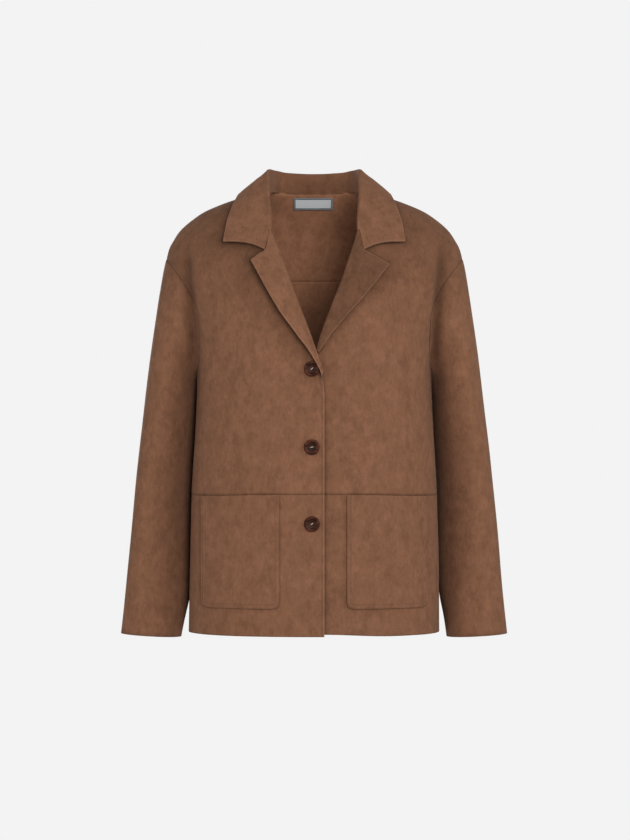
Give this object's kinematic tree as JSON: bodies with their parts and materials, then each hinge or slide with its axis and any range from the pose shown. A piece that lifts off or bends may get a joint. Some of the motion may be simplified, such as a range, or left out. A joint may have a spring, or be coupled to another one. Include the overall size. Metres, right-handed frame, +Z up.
{
  "type": "suede jacket",
  "caption": "Hip-length women's suede jacket with a notched collar, rolled lapels, drop shoulders, plain sleeves, a waist seam, patch pockets and a buttoned front.",
  "frame": {"origin": "middle of the neck opening, level with the neck seam, on the side line of the trunk", "axes": "+Z up along the wearer's spine, -Y is the way the front faces, +X towards the wearer's left, which is the viewer's right"},
  "size_m": [0.5588, 0.2574, 0.6763],
  "materials": {
    "suede": "soft brushed suede nap, fully matte, mid brown",
    "horn": "polished horn-like plastic, dark brown",
    "woven": "plain woven ribbon, pale grey with a darker border"
  },
  "bodies": {
    "root": {"front_right_upper": "suede", "front_left_upper": "suede", "front_right_lower": "suede", "front_left_lower": "suede", "pocket_right": "suede", "pocket_left": "suede", "back": "suede", "back_yoke": "suede", "sleeve_right": "suede", "sleeve_left": "suede", "lapel_right": "suede", "lapel_left": "suede", "collar": "suede", "button_1": "horn", "button_2": "horn", "button_3": "horn", "label": "woven"}
  },
  "joints": []
}
